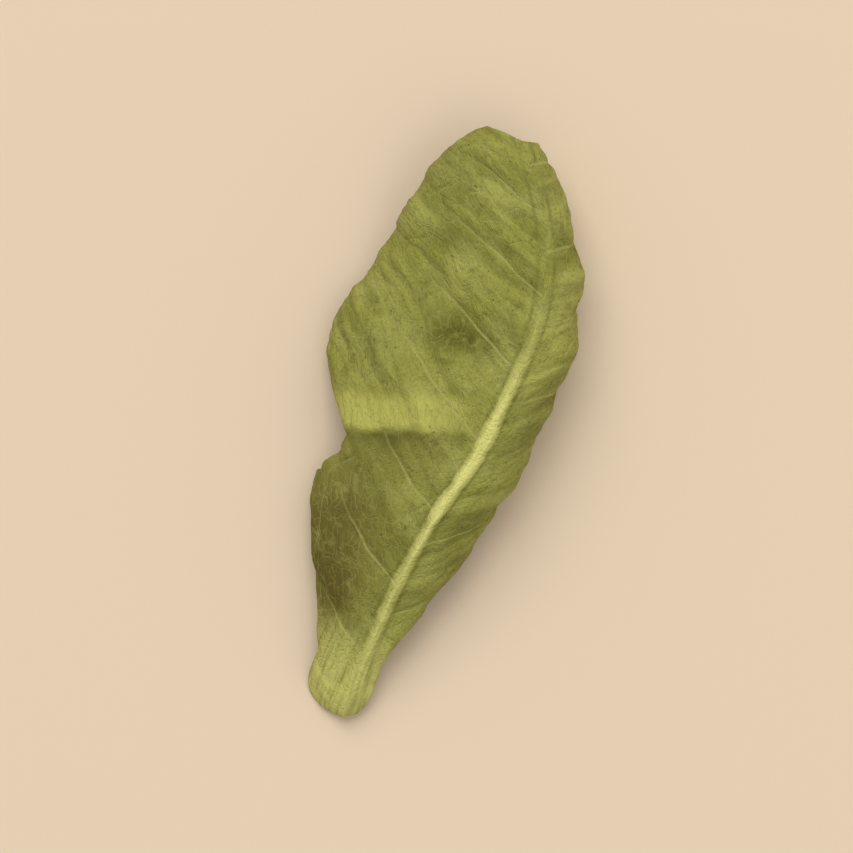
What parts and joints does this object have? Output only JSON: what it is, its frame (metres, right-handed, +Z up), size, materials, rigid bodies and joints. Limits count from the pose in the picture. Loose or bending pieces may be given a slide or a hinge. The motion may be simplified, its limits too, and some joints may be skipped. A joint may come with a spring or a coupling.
{
  "type": "dried moringa leaf",
  "caption": "Dried moringa leaflet with an arched midrib: its left half is spread and creased, its right half is rolled under, and its edge is wavy.",
  "frame": {"origin": "on the table, under the middle of the leaf's box", "axes": "+Y from the stalk to the tip, +Z up from the table the leaf lies on, +X to the side of the rolled half"},
  "size_m": [0.0102, 0.025, 0.0048],
  "materials": {
    "leaf": null
  },
  "bodies": {
    "root": {"leaf": "leaf"}
  },
  "joints": []
}
